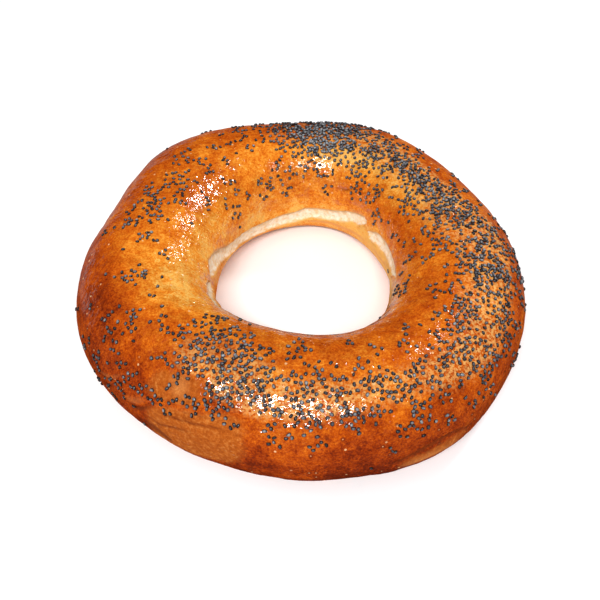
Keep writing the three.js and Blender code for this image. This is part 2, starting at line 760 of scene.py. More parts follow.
    dull_patches: tuple = (
        Patch(5, 18, 62, 36, 1.0),
        Patch(172, 6, 48, 34, 1.0),
        Patch(345, 68, 20, 26, 0.6),
        Patch(86, 62, 46, 24, 0.7),
        Patch(102, 112, 17, 16, 0.9),
        Patch(90, 106, 10, 16, 0.5),
        Patch(20, 62, 24, 18, 0.6),
        Patch(326, 66, 22, 20, 0.75),
        Patch(180, 110, 14, 26, 0.8),
    )
    blister_middle: float = 10.0
    blister_below: tuple = (-70.0, -30.0)
    blister_above: tuple = (60.0, 20.0)
    turns: np.ndarray = field(init=False, repr=False)
    arounds: np.ndarray = field(init=False, repr=False)
    points: np.ndarray = field(init=False, repr=False)
    normals: np.ndarray = field(init=False, repr=False)
    bake: np.ndarray = field(init=False, repr=False)
    matte: np.ndarray = field(init=False, repr=False)
    open_tear: np.ndarray = field(init=False, repr=False)
    tear_side: np.ndarray = field(init=False, repr=False)
    base: np.ndarray = field(init=False, repr=False)
    crease: np.ndarray = field(init=False, repr=False)

    def build(self) -> bpy.types.Object:
        """Works out the grid, its relief and its fields, and makes the piece.

        Returns:
            The ring's mesh object, not yet dressed.
        """
        turn, around = self.form.turns(), self.form.arounds()
        self.turns, self.arounds = np.meshgrid(turn, around, indexing="ij")
        bare = self.form.centred(self.turns, self.arounds)
        steps = np.linalg.norm(np.diff(bare, axis=1), axis=-1) / MM
        arc = np.concatenate([np.zeros((len(turn), 1)), np.cumsum(steps, axis=1)], axis=1)
        below, half = self.tear.measure(turn, around, arc)
        self.open_tear = half - np.abs(below)
        self.tear_side = np.clip(below / np.maximum(half, 0.3), -2.0, 2.0)
        self.matte = np.max([patch.plate(self.turns, self.arounds) for patch in self.matte_patches], axis=0)
        self.bake = self.bake_field(bare)
        height, self.crease = self.stroke_relief(bare)
        for number, (cell, rise) in enumerate(self.lumps):
            height += rise * dough_noise(bare, cell * MM, self.lump_seed + number)
        height += self.tear.relief(below, half) - self.matte_press * self.matte
        clear = ease(bare[..., 2] / MM, *self.relief_fade)
        self.points = bare + grid_normals(bare) * (height * clear * MM)[..., None]
        self.press_base(bare)
        self.normals = grid_normals(self.points)
        return self.make_mesh()

    def press_base(self, bare: np.ndarray) -> None:
        """Marks the underside, and lifts the crust in small dimples off the sheet that it baked on.

        Args:
            bare: The grid of the bare ring, in metres.
        """
        under = np.abs(turn_gap(self.arounds, 270.0)) < self.base_reach
        self.base = ease(bare[..., 2] / MM, *self.base_fade) * under
        depth, cell = self.dimple
        dimples = depth * np.maximum(0.0, dough_noise(bare, cell * MM, self.dimple_seed) + 0.2)
        floor = dimples * self.base * MM * ease(bare[..., 2], 0.0005, 0.0)
        self.points[..., 2] = np.maximum(self.points[..., 2], floor)

    def bake_field(self, bare: np.ndarray) -> np.ndarray:
        """How dark the crust baked: patches, and streaks that the brush left round the ring.

        Args:
            bare: The grid of the bare ring, in metres.

        Returns:
            From 0 for pale gold to 1 for the darkest brown.
        """
        bells = [patch.bell(self.turns, self.arounds) for patch in self.bake_patches]
        heading = np.radians(self.turns)
        swept = np.stack([np.cos(heading), np.sin(heading), self.arounds / self.streak_degrees], axis=-1)
        streaks = dough_noise(swept, 0.35, 81) + 0.6 * dough_noise(swept * (1.0, 1.0, 2.3), 0.3, 82)
        blotches = dough_noise(bare, self.blotch_width * MM, 83)
        return self.bake_start + np.sum(bells, axis=0) + self.streak * streaks + self.blotch * blotches

    def glaze_field(self) -> np.ndarray:
        """How thickly the egg wash was brushed on: fully on the crown, hardly at all low on the sides."""
        outer = ease(self.arounds, self.glaze_start, self.glaze_full) * (self.arounds < 180.0)
        inner = ease(self.arounds, self.glaze_end, self.glaze_end - self.glaze_fade) * (self.arounds >= 90.0)
        brushed = np.where(self.arounds < 90.0, outer, inner)
        dull = np.sum([patch.bell(self.turns, self.arounds) for patch in self.dull_patches], axis=0)
        return np.clip(self.glaze_least + (1.0 - self.glaze_least) * brushed - dull, self.glaze_least, 1.0)

    def stroke_relief(self, bare: np.ndarray) -> tuple:
        """The height in mm and the tone that the ridges and creases give each grid place.

        Each is a bell across its path, e to minus the squared share of its width, and fades at both ends.

        Args:
            bare: The grid of the bare ring, in metres.

        Returns:
            The grids of heights and tones.
        """
        flat = bare.reshape(-1, 3) / MM
        height, tone = np.zeros(len(flat)), np.zeros(len(flat))
        for stroke in self.strokes:
            turns, arounds = np.array(stroke.path, dtype=float).T
            marks = np.linspace(0.0, len(turns) - 1.0, 40)
            knots = np.arange(len(turns))
            spine = self.form.centred(np.interp(marks, knots, turns), np.interp(marks, knots, arounds)) / MM
            reach = np.ptp(spine, axis=0).max() + 5 * stroke.width
            near = np.linalg.norm(flat - spine.mean(axis=0), axis=1) < reach
            gaps = np.linalg.norm(flat[near, None, :] - spine[None], axis=-1)
            nearest = np.argmin(gaps, axis=1)
            fade = np.sqrt(np.sin(np.pi * (nearest + 0.5) / len(spine)))
            bell = fade * np.exp(-((np.min(gaps, axis=1) / stroke.width) ** 2))
            height[near] += stroke.height * bell
            tone[near] += stroke.tone * bell
        return height.reshape(bare.shape[:2]), tone.reshape(bare.shape[:2])

    def make_mesh(self) -> bpy.types.Object:
        """Joins the grid into a closed mesh of quads, with its fields and its map."""
        lines, rows = self.points.shape[:2]
        line, row = np.meshgrid(np.arange(lines), np.arange(rows), indexing="ij")
        number = line * rows + row
        right, up = (line + 1) % lines * rows, (row + 1) % rows
        faces = np.stack([number, right + row, right + up, line * rows + up], axis=-1).reshape(-1, 4)
        piece = make_piece(self.name, self.points.reshape(-1, 3), faces)
        u = np.stack([line, line + 1, line + 1, line], axis=-1) / lines
        v = np.stack([row, row, row + 1, row + 1], axis=-1) / rows
        store_map(piece, np.stack([u, v], axis=-1).reshape(-1, 2))
        return piece

    def dress(self, piece: bpy.types.Object, bed: np.ndarray, finish: "CrustFinish") -> None:
        """Stores the fields, gives the ring its finish and hands it to the frame.

        Args:
            piece: The ring's mesh object.
            bed: How thickly seeds lie round each grid place, from 0 to 1.
            finish: The crust's finish.
        """
        gap = turn_gap(self.arounds, self.blister_middle)
        fields = {
            Field.BAKE: self.bake,
            Field.TEAR: self.open_tear,
            Field.TEAR_SIDE: self.tear_side,
            Field.MATTE: self.matte,
            Field.BED: bed,
            Field.BASE: self.base,
            Field.BLISTER: ease(gap, *self.blister_above) * ease(gap, *self.blister_below),
            Field.GLAZE: self.glaze_field(),
            Field.CREASE: self.crease,
        }
        for kind, values in fields.items():
            store_field(piece, kind.value, values)
        piece.data.materials.append(finish.material())
        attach(piece, BODY)
        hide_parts(CAD_NODE)

    def spots(self, line: np.ndarray, row: np.ndarray) -> tuple:
        """Places and normals of the finished crust between grid points, blended from the four round each.

        Args:
            line: Grid lines round the ring, with fractions.
            row: Grid rows round the section, with fractions.

        Returns:
            The places in metres and the unit normals, one row each.
        """
        lines, rows = self.points.shape[:2]
        low_line, low_row = np.floor(line).astype(int), np.floor(row).astype(int)
        share_line, share_row = line - low_line, row - low_row
        places, normals = np.zeros((len(line), 3)), np.zeros((len(line), 3))
        for ahead, up in product((0, 1), repeat=2):
            weight = np.where(ahead, share_line, 1.0 - share_line) * np.where(up, share_row, 1.0 - share_row)
            at = ((low_line + ahead) % lines, (low_row + up) % rows)
            places += weight[:, None] * self.points[at]
            normals += weight[:, None] * self.normals[at]
        return places, normals / np.linalg.norm(normals, axis=1, keepdims=True)


# ---------------------------------------------------------------- finishes


@dataclass(frozen=True)
class CrustFinish:
    """Egg-washed crust: orange brown under a clear gloss, cream in the tear, matte where doughs touched.

    Colours are linear, and a colour ramp's stops are pairs of a place and a colour. A grain is the width
    of a noise's lumps in metres and how far it swings. A band is a pair of values between which a share
    rises, and may go on with the share at its start and the share at its end.

    Attributes:
        bake_colours: The crust from its palest to its darkest.
        bake_grains: The mottling, from its widest lumps to its finest.
        bed_colour: The crust that shows between thickly strewn seeds.
        bed_grain, bed_band: The edge of the seed beds.
        patchy_noise, patchy_band: The paler flecks that a seed bed is made of.
        scar_colour: Small pale pits.
        scar_cell, scar_chance, scar_edge, scar_share: Their spacing, and which, how wide and how strong.
        blister_colour: The dark ring round a burst blister.
        blister_cell, blister_chance, blister_share: Their spacing, and which and how strong.
        blister_edge, blister_hollow, blister_centre: The ring's outside and inside, and the pit in it.
        matte_colours: The matte patches' colours.
        matte_noise, matte_grain, matte_band, matte_share: Their dust, their edge and their strength.
        cream: The crumb in the tear.
        crumb_noise, crumb_dark: Its open texture, and the colour in its pores.
        crumb_shade, shade_band: The crumb's shaded upper side.
        toast_band: The crumb's toasted lower side, in the tear's edge colour.
        tear_edge, tear_edge_band, tear_edge_share: The thin crust round the tear.
        tear_grain, side_grain, tear_band: How uneven the tear's edge is.
        crease_shade_colour, crease_shade_band: The painted shade in a crease.
        fold_pale_and_highlight_colour, fold_pale_and_highlight_band: The pale of a stretched fold, partly
        the dough's own and partly a painted highlight on a raised ridge.
        base_colours, base_noise, base_grain, base_band: The underside.
        roughness_band: Roughness of the crust, from where it is glazed to where it is dull.
        wash_grain, wash_band: How unevenly the egg wash dried.
        coat_roughness, coat_density: The gloss's roughness and index of refraction.
        density, specular: The crust's own index of refraction and specular level.
        wrinkle, wrinkle_width: Height and width in metres of the dried glaze's wrinkles.
        grain, grain_width: The same for the finer grain on them.
        bead, bead_cell, bead_edge, bead_chance: The same for its beads, and how wide and which.
    """

    bake_colours: tuple = (
        (0.0, (0.90, 0.50, 0.11)),
        (0.2, (0.83, 0.285, 0.024)),
        (0.42, (0.64, 0.138, 0.006)),
        (0.62, (0.46, 0.070, 0.003)),
        (0.82, (0.27, 0.030, 0.002)),
        (1.0, (0.13, 0.014, 0.003)),
    )
    bake_grains: tuple = ((0.010, 0.5), (0.0025, 0.42), (0.0006, 0.65), (0.0003, 0.35))
    bed_colour: tuple = (0.87, 0.53, 0.17)
    bed_grain: tuple = (0.0018, 0.5)
    bed_band: tuple = (0.3, 0.9, 0.0, 0.6)
    patchy_noise: tuple = (0.0007, 2.0, 0.6)
    patchy_band: tuple = (0.4, 0.6)
    scar_colour: tuple = (0.85, 0.52, 0.25)
    scar_cell: float = 0.0020
    scar_chance: tuple = (0.66, 0.68)
    scar_edge: tuple = (0.17, 0.10)
    scar_share: float = 0.8
    blister_colour: tuple = (0.16, 0.02, 0.004)
    blister_cell: float = 0.0025
    blister_chance: tuple = (0.50, 0.52)
    blister_share: float = 0.7
    blister_edge: tuple = (0.26, 0.18)
    blister_hollow: tuple = (0.05, 0.10)
    blister_centre: tuple = (0.09, 0.04)
    matte_colours: tuple = (
        (0.32, (0.26, 0.052, 0.006)),
        (0.52, (0.42, 0.100, 0.012)),
        (0.74, (0.68, 0.26, 0.055)),
    )
    matte_noise: tuple = (0.0010, 4.0, 0.8)
    matte_grain: tuple = (0.0022, 0.5)
    matte_band: tuple = (0.15, 0.85)
    matte_share: float = 0.85
    cream: tuple = (0.97, 0.89, 0.72)
    crumb_noise: tuple = (0.0012, 4.0, 0.65)
    crumb_dark: tuple = (0.86, 0.62, 0.34)
    crumb_shade: tuple = (0.62, 0.44, 0.22)
    shade_band: tuple = (-0.15, -0.95, 0.0, 0.75)
    toast_band: tuple = (0.75, 1.1, 0.0, 0.6)
    tear_edge: tuple = (0.82, 0.46, 0.15)
    tear_edge_band: tuple = (-1.0, 0.5)
    tear_edge_share: float = 0.75
    tear_grain: tuple = (0.0030, 0.9)
    side_grain: tuple = (0.0016, 1.6)
    tear_band: tuple = (-0.15, 0.30)
    crease_shade_colour: tuple = (0.16, 0.028, 0.006)
    crease_shade_band: tuple = (0.02, 0.28, 0.0, 0.8)
    fold_pale_and_highlight_colour: tuple = (0.78, 0.36, 0.11)
    fold_pale_and_highlight_band: tuple = (-0.02, -0.3, 0.0, 0.85)
    base_colours: tuple = ((0.25, (0.34, 0.11, 0.025)), (0.75, (0.56, 0.24, 0.07)))
    base_noise: tuple = (0.005, 4.0, 0.6)
    base_grain: tuple = (0.004, 0.5)
    base_band: tuple = (0.3, 0.7)
    roughness_band: tuple = (0.0, 1.0, 0.42, 0.72)
    wash_grain: float = 0.0046
    wash_band: tuple = (0.40, 0.56, 0.22, 1.0)
    coat_roughness: float = 0.13
    coat_density: float = 2.3
    density: float = 1.45
    specular: float = 0.02
    wrinkle: float = 0.00027
    wrinkle_width: float = 0.0014
    grain: float = 0.00010
    grain_width: float = 0.0005
    bead: float = 0.00005
    bead_cell: float = 0.0009
    bead_edge: tuple = (0.42, 0.0)
    bead_chance: tuple = (0.45, 0.55)

    def material(self) -> bpy.types.Material:
        """Builds the node tree.

        Returns:
            The crust's material.
        """
        board = Board("glazed_crust")
        matte = board.rise(board.uneven(Field.MATTE.value, *self.matte_grain), *self.matte_band)
        gap = board.uneven(Field.TEAR.value, *self.tear_grain)
        tear = board.rise(gap, *self.tear_band)
        base = board.rise(board.uneven(Field.BASE.value, *self.base_grain), *self.base_band)
        colour = self.crust_colour(board, matte)
        crease = board.field(Field.CREASE.value)
        # Painted shade darkens the creases.
        colour = board.mix(board.rise(crease, *self.crease_shade_band), colour, self.crease_shade_colour)
        # The folds' pale is partly the dough's own and partly a painted highlight along raised ridges.
        colour = board.mix(board.rise(crease, *self.fold_pale_and_highlight_band), colour, self.fold_pale_and_highlight_colour)
        edge = board.times(board.rise(gap, *self.tear_edge_band), self.tear_edge_share)
        colour = board.mix(edge, colour, self.tear_edge)
        colour = board.mix(tear, colour, self.crumb_colour(board))
        colour = board.mix(base, colour, board.ramp(board.noise(*self.base_noise), self.base_colours))
        dull = board.math("MAXIMUM", board.math("MAXIMUM", matte, tear), base)
        wash = board.rise(board.noise(self.wash_grain), *self.wash_band)
        wash = board.times(wash, board.field(Field.GLAZE.value))
        board.join(colour, board.shader.inputs["Base Color"])
        board.join(board.rise(dull, *self.roughness_band), board.shader.inputs["Roughness"])
        board.join(board.times(wash, board.math("SUBTRACT", 1.0, dull)), board.shader.inputs["Coat Weight"])
        board.join(self.specular, board.shader.inputs["Specular IOR Level"])
        board.join(self.coat_roughness, board.shader.inputs["Coat Roughness"])
        board.join(self.coat_density, board.shader.inputs["Coat IOR"])
        board.join(self.density, board.shader.inputs["IOR"])
        self.relief(board)
        return board.material

    def crumb_colour(self, board: Board) -> bpy.types.NodeSocket:
        """The crumb's colour in the tear: cream, shaded above and toasted along its lower edge."""
        crumb = board.ramp(board.noise(*self.crumb_noise), ((0.35, self.crumb_dark), (0.58, self.cream)))
        side = board.uneven(Field.TEAR_SIDE.value, *self.side_grain)
        crumb = board.mix(board.rise(side, *self.shade_band), crumb, self.crumb_shade)
        return board.mix(board.rise(side, *self.toast_band), crumb, self.tear_edge)

    def crust_colour(self, board: Board, matte: object) -> bpy.types.NodeSocket:
        """The glazed crust's colour, with its mottling, seed beds, scars, blisters and matte patches.

        Args:
            board: The material's board.
            matte: The socket of the matte patches' share.

        Returns:
            The colour's socket.
        """
        tone = board.field(Field.BAKE.value)
        for grain in self.bake_grains:
            tone = board.plus(tone, board.wobble(*grain))
        colour = board.ramp(tone, self.bake_colours)
        bed = board.rise(board.uneven(Field.BED.value, *self.bed_grain), *self.bed_band)
        patchy = board.rise(board.noise(*self.patchy_noise), *self.patchy_band)
        colour = board.mix(board.times(bed, patchy), colour, self.bed_colour)
        spot, chance = board.cells(self.scar_cell)
        scar = board.times(board.rise(spot, *self.scar_edge), board.rise(chance, *self.scar_chance))
        colour = board.mix(board.times(scar, self.scar_share), colour, self.scar_colour)
        spot, chance = board.cells(self.blister_cell)
        picked = board.times(board.rise(chance, *self.blister_chance), board.field(Field.BLISTER.value))
        ring = board.times(board.rise(spot, *self.blister_edge), board.rise(spot, *self.blister_hollow))
        pit = board.rise(spot, *self.blister_centre)
        for mark, tint in ((ring, self.blister_colour), (pit, self.scar_colour)):
            colour = board.mix(board.times(board.times(mark, picked), self.blister_share), colour, tint)
        dusty = board.ramp(board.noise(*self.matte_noise), self.matte_colours)
        return board.mix(board.times(matte, self.matte_share), colour, dusty)

    def relief(self, board: Board) -> None:
        """Wrinkles of the dried glaze, with a finer grain and beads on them, for the crust and its gloss.

        Args:
            board: The material's board.
        """
        wrinkles = board.bump(board.noise(self.wrinkle_width, 0.0), self.wrinkle)
        grain = board.bump(board.noise(self.grain_width, 0.0), self.grain, wrinkles)
        spot, chance = board.cells(self.bead_cell)
        domes = board.times(board.rise(spot, *self.bead_edge), board.rise(chance, *self.bead_chance))
        beads = board.bump(domes, self.bead, grain)
        board.join(beads, board.shader.inputs["Normal"])
        board.join(beads, board.shader.inputs["Coat Normal"])


@dataclass(frozen=True)
class SeedFinish:
    """Poppy seed: a slate blue to nearly black husk with a faint net of ridges and a soft gloss.

    Attributes:
        husk_colours: Pairs of a tone and a linear colour.
        speck: Width in metres, swing and detail of the husk's mottling.
        rim_glaze_and_shade_colour: Its colour low on the seed: the glaze that holds it there, and painted
            shade where it meets the crust.
        painted_crown_highlight: How much paler the seed's crown is made, a painted highlight.
        painted_side_shade: How much darker its side is made, painted shade.
        roughness: The husk's roughness.
        net: Height of the net of ridges, in metres.
        net_cell: Width of its meshes, in metres.
    """

    husk_colours: tuple = (
        (0.0, (0.012, 0.010, 0.013)),
        (0.35, (0.055, 0.055, 0.066)),
        (0.7, (0.150, 0.160, 0.180)),
        (1.0, (0.31, 0.325, 0.34)),
    )
    speck: tuple = (0.00035, 0.5, 2.0)
    rim_glaze_and_shade_colour: tuple = (0.020, 0.009, 0.006)
    painted_crown_highlight: float = 0.20
    painted_side_shade: float = 0.60
    roughness: float = 0.36
    net: float = 0.00004
    net_cell: float = 0.00022

    def material(self) -> bpy.types.Material:
        """Builds the node tree.

        Returns:
            The seeds' material.
        """
        board = Board("poppy_seed")
        rim = board.field(SeedField.GLAZE_AND_SHADE_RIM.value)
        # Painted light: the seed's crown is made paler as a painted highlight, and its side darker as
        # painted shade.
        painted_light_and_shade = board.rise(rim, 0.0, 1.0, self.painted_crown_highlight, -self.painted_side_shade)
        tone = board.plus(board.plus(board.field(SeedField.TONE.value), board.wobble(*self.speck)), painted_light_and_shade)
        # Low on the seed the husk turns nearly black. This is the glaze that holds it, and painted shade
        # where it meets the crust.
        colour = board.mix(rim, board.ramp(tone, self.husk_colours), self.rim_glaze_and_shade_colour)
        board.join(colour, board.shader.inputs["Base Color"])
        board.join(self.roughness, board.shader.inputs["Roughness"])
        distance, _ = board.cells(self.net_cell)
        board.join(board.bump(distance, self.net), board.shader.inputs["Normal"])
        return board.material


# ---------------------------------------------------------------- the seeds


@dataclass
class PoppySeeds:
    """The seeds stuck in the glaze: drifts where they were sprinkled thickly, with clumps and strays.

    Sizes are in mm, and noises are a width in mm, a number that picks them and the band that they rise in.

    Attributes:
        drifts: Where seeds lie. An amount is the share of the crust that they hide at the middle.
        bare_spots: Where they don't, and the share of them that is missing.
        pale_beds: Where the crust between them is paler, or below 0 darker.
        bed_band: The cover between which that crust turns pale.
        bed_least: How pale it is where no bed is named.
        stray_share: The share of the crust that strays hide above the lower sides.
        stray_middle: Around angle in the middle of the strays' band.
        stray_above: Degrees from it between which they end, towards the hole.
        stray_below: The same towards the lower side.
        cover_limit: The largest share that seeds of the first layer hide.
        tear_clear: Between these, in mm inside the tear and so below 0 outside it, seeds come in.
        clump_noises: The noises that thin the seeds out between clumps.
        even_band: The cover between which seeds no longer clump.
        seed_length: Mean length of a seed.
        seed_width: Mean width.
        seed_height: Mean height.
        size_spread: How much the sizes vary, as a share.
        around_seed: Points round a seed.
        along_seed: Steps along it.
        tip_power: How blunt its tips are, less for blunter.
        notch: Depth, half length and sharpness of the pinch on one side.
        bend: How far it bends towards the pinch.
        tip_offset: How far its tips lie to that side.
        clump_size: Most seeds in a clump.
        clump_stride: Least and most distance of a clump's second seed from its head. That of a later one
            grows with the root of its number.
        carry_on: Chance that a clump goes on after each seed.
        spare_share: How many more seeds are tried than would hide the cover.
        gap: Least distance between two seeds of the first layer.
        first_lift: How far its seeds' middles lie above the crust.
        pile_gap: Least distance between two seeds of one pile layer.
        pile_layers: Lift of each pile layer and the share of its seeds that stay.
        pile_band: The cover between which seeds pile up.
        tilt: How unevenly seeds lie.
        tone: Mean tone of a seed, from 0 to 1.
        tone_spread: How much it varies.
        heap_tone: How much paler the seeds of a pile are.
        tone_limits: The darkest and the palest tone.
        glaze_and_shade_rim_band: Height shares between which a seed's dark rim rises, from its crown down:
            the glaze low on it and painted shade.
        map_margin: Empty edge of a seed's cell in the map, as a share of the cell.
        random_seed: Picks the places and, one up, the seeds' own shapes.
        bed: How thickly seeds lie round each grid place, once they have settled.
    """

    drifts: tuple = (
        Patch(80, 97, 9, 19, 1.05),
        Patch(93, 80, 12, 17, 0.52),
        Patch(60, 94, 12, 18, 0.42),
        Patch(82, 125, 6, 18, 0.22),
        Patch(36, 102, 18, 14, 0.36),
        Patch(13, 93, 12, 15, 0.52),
        Patch(349, 70, 15, 15, 0.62),
        Patch(337, 88, 15, 10, 0.32),
        Patch(4, 118, 12, 12, 0.24),
        Patch(336, 26, 20, 12, 0.16),
        Patch(322, 54, 14, 17, 0.40),
        Patch(18, 150, 26, 12, 0.09),
        Patch(247, 86, 12, 22, 0.52),
        Patch(247, 100, 10, 12, 0.24),
        Patch(244, 36, 8, 5, 0.60, lean=0.9),
        Patch(243, 34, 9, 10, 0.12),
        Patch(55, 92, 14, 14, 0.16),
        Patch(30, 96, 12, 12, 0.24),
        Patch(0, 62, 10, 12, 0.20),
        Patch(0, 32, 14, 14, 0.14),
        Patch(257, 62, 10, 10, 0.20),
        Patch(265, 56, 17, 16, 0.26),
        Patch(292, 70, 18, 14, 0.26),
        Patch(293, 40, 26, 14, 0.08),
        Patch(208, 46, 17, 20, 0.07),
        Patch(217, 22, 9, 18, 0.13),
        Patch(196, 84, 15, 9, 0.12),
        Patch(166, 88, 13, 10, 0.27),
        Patch(142, 100, 14, 10, 0.15),
        Patch(106, 90, 7, 14, 0.12),
        Patch(110, 150, 22, 16, 0.04),
        Patch(60, 140, 16, 20, 0.08),
    )
    bare_spots: tuple = (
        Patch(272, 142, 42, 20, 1.0),
        Patch(203, 132, 26, 20, 1.0),
        Patch(122, 70, 14, 15, 0.9),
        Patch(320, 108, 18, 12, 0.6),
        Patch(182, 20, 22, 34, 1.0),
        Patch(299, 1, 16, 15, 1.0),
        Patch(274, -3, 16, 12, 0.9),
        Patch(216, -32, 26, 16, 1.0),
        Patch(28, 26, 32, 22, 0.9),
        Patch(125, 28, 20, 16, 0.9),
        Patch(255, 122, 20, 16, 0.7),
        Patch(42, 176, 22, 18, 1.0),
    )
    pale_beds: tuple = (
        Patch(45, 100, 32, 28, 0.38),
        Patch(272, 54, 40, 22, 0.62),
        Patch(243, 35, 9, 6, -0.9, lean=0.9),
        Patch(0, 62, 34, 24, 0.35),
    )
    bed_band: tuple = (0.05, 0.45)
    bed_least: float = 0.4
    stray_share: float = 0.012
    stray_middle: float = 80.0
    stray_above: tuple = (115.0, 60.0)
    stray_below: tuple = (-100.0, -60.0)
    cover_limit: float = 0.95
    tear_clear: tuple = (0.1, -0.5)
    clump_noises: tuple = ((5.5, 71, -0.45, 0.5), (2.6, 72, -0.4, 0.5))
    even_band: tuple = (0.25, 0.8)
    seed_length: float = 1.04
    seed_width: float = 0.86
    seed_height: float = 0.72
    size_spread: float = 0.07
    around_seed: int = 8
    along_seed: int = 5
    tip_power: float = 0.85
    notch: tuple = (0.28, 0.42, 1.5)
    bend: float = 0.10
    tip_offset: float = -0.12
    clump_size: int = 6
    clump_stride: tuple = (0.85, 1.15)
    carry_on: float = 0.6
    spare_share: float = 2.0
    gap: float = 0.80
    first_lift: float = 0.04
    pile_gap: float = 0.85
    pile_layers: tuple = ((0.34, 0.9), (0.62, 0.5))
    pile_band: tuple = (0.45, 0.85)
    tilt: float = 0.16
    tone: float = 0.36
    tone_spread: float = 0.22
    heap_tone: float = 0.40
    tone_limits: tuple = (0.02, 0.98)
    glaze_and_shade_rim_band: tuple = (0.95, 0.15)
    map_margin: float = 0.06
    random_seed: int = 11
    bed: np.ndarray = field(init=False, repr=False)

    def cover(self, ring: BakedRing) -> np.ndarray:
        """The share of the crust that seeds hide, at each grid place.

        The drifts' bells are shares that hide the crust one over another, so what stays open is the product
        of what each leaves open. Bare spots, matte patches and the tear thin the seeds out.

        Args:
            ring: The baked ring.

        Returns:
            From 0 to about 1, for each grid place.
        """
        bells = np.array([drift.bell(ring.turns, ring.arounds) for drift in self.drifts])
        thick = 1.0 - np.prod(1.0 - np.minimum(bells, self.cover_limit), axis=0)
        thick = np.clip(thick, 0.0, self.cover_limit)
        height = turn_gap(ring.arounds, self.stray_middle)
        strays = self.stray_share * (ease(height, *self.stray_above) * ease(height, *self.stray_below))
        spared = np.prod([1.0 - spot.bell(ring.turns, ring.arounds) for spot in self.bare_spots], axis=0)
        clean = (1.0 - ring.matte) * ease(ring.open_tear, *self.tear_clear) * np.clip(spared, 0.0, 1.0)
        return (thick + strays) * clean

    def scatter(self, ring: BakedRing, cover: np.ndarray, rng: np.random.Generator) -> tuple:
        """Picks where seeds land: heads of clumps by the cover, then up to a few more close round each head.

        Args:
            ring: The baked ring.
            cover: Share of the crust to hide, at each grid place.
            rng: The random numbers.

        Returns:
            Grid lines and rows, with fractions.
        """
        clumps = sum(
            ease(dough_noise(ring.points, width * MM, number), low, high)
            for width, number, low, high in self.clump_noises
        )
        even = ease(cover, *self.even_band)
        wanted = cover * (even + (1.0 - even) * clumps)
        step_line = np.linalg.norm(np.roll(ring.points, -1, axis=0) - ring.points, axis=-1) / MM
        step_row = np.linalg.norm(np.roll(ring.points, -1, axis=1) - ring.points, axis=-1) / MM
        per_cell = (wanted * step_line * step_row).ravel()
        seed_area = np.pi / 4.0 * self.seed_length * self.seed_width
        clump_mean = (1.0 - self.carry_on**self.clump_size) / (1.0 - self.carry_on)
        heads = int(self.spare_share * per_cell.sum() / seed_area / clump_mean)
        cell = rng.choice(per_cell.size, heads, p=per_cell / per_cell.sum())
        heading = rng.uniform(0.0, 2.0 * np.pi, (heads, self.clump_size))
        stride = rng.uniform(*self.clump_stride, heading.shape) * np.sqrt(np.arange(self.clump_size))
        east = stride * np.cos(heading) / step_line.ravel()[cell][:, None]
        north = stride * np.sin(heading) / step_row.ravel()[cell][:, None]
        lasts = np.cumprod(rng.uniform(size=stride.shape) < self.carry_on, axis=1) > 0
        lasts = np.concatenate([np.ones((heads, 1), bool), lasts[:, :-1]], axis=1)
        lines, rows = cover.shape
        line = (cell // rows)[:, None] + rng.uniform(size=(heads, 1)) + east
        row = (cell % rows)[:, None] + rng.uniform(size=(heads, 1)) + north
        return line[lasts] % lines, row[lasts] % rows

    @staticmethod
    def thin(places: np.ndarray, gap: float) -> np.ndarray:
        """Keeps seeds in order, and drops each one that lies nearer than gap to one kept before it.

        Args:
            places: Seed places in metres, one row each.
            gap: The least distance in metres.

        Returns:
            True for each seed that is kept.
        """
        tree = KDTree(len(places))
        for number, place in enumerate(places):
            tree.insert(place, number)
        tree.balance()
        kept = np.ones(len(places), dtype=bool)
        for number, place in enumerate(places):
            if kept[number]:
                for _, other, _ in tree.find_range(place, gap):
                    if other > number:
                        kept[other] = False
        return kept

    def template(self) -> tuple:
        """One kidney-shaped seed: rings of points along its length, and a point at each tip.

        A ring at share t of the length has the radius of an ellipse, sin(t * half a turn), and one side is
        pinched near the middle, so that the seed bends round its scar.

        Returns:
            Unit points, triangles, and the (u, v) of each triangle's corners.
        """
        share = np.arange(1, self.along_seed) / self.along_seed
        spin = np.arange(self.around_seed) * 2.0 * np.pi / self.around_seed
        share, spin = np.meshgrid(share, spin, indexing="ij")
        along = -np.cos(np.pi * share)
        radius = np.sin(np.pi * share) ** self.tip_power
        depth, length, sharpness = self.notch
        pinch = 1.0 - depth * np.exp(-((along / length) ** 2)) * np.maximum(0.0, -np.cos(spin)) ** sharpness
        side = radius * np.cos(spin) * pinch - self.bend * along**2
        body = np.stack([along, side, radius * np.sin(spin)], axis=-1).reshape(-1, 3)
        tips = [[-1.0, self.tip_offset, 0.0], [1.0, self.tip_offset, 0.0]]
        ring, step = np.meshgrid(np.arange(self.along_seed - 2), np.arange(self.around_seed), indexing="ij")
        here = ring * self.around_seed + step
        after = ring * self.around_seed + (step + 1) % self.around_seed
        quads = np.stack([here, here + self.around_seed, after + self.around_seed, after], axis=-1)
        quads = quads.reshape(-1, 4)
        u = np.stack([ring + 1, ring + 2, ring + 2, ring + 1], axis=-1) / self.along_seed
        v = np.stack([step, step, step + 1, step + 1], axis=-1) / self.around_seed
        quad_map = np.stack([u, v], axis=-1).reshape(-1, 4, 2)
        start, start_map = self.tip(len(body), 0, 0.0, 1.0 / self.along_seed)
        last = (self.along_seed - 2) * self.around_seed
        end, end_map = self.tip(len(body) + 1, last, 1.0, 1.0 - 1.0 / self.along_seed)
        end, end_map = end[:, [0, 2, 1]], end_map[:, [0, 2, 1]]
        triangles = np.concatenate([quads[:, [0, 1, 2]], quads[:, [0, 2, 3]], start, end])
        corner_map = np.concatenate([quad_map[:, [0, 1, 2]], quad_map[:, [0, 2, 3]], start_map, end_map])
        return np.concatenate([body, tips]), triangles, corner_map

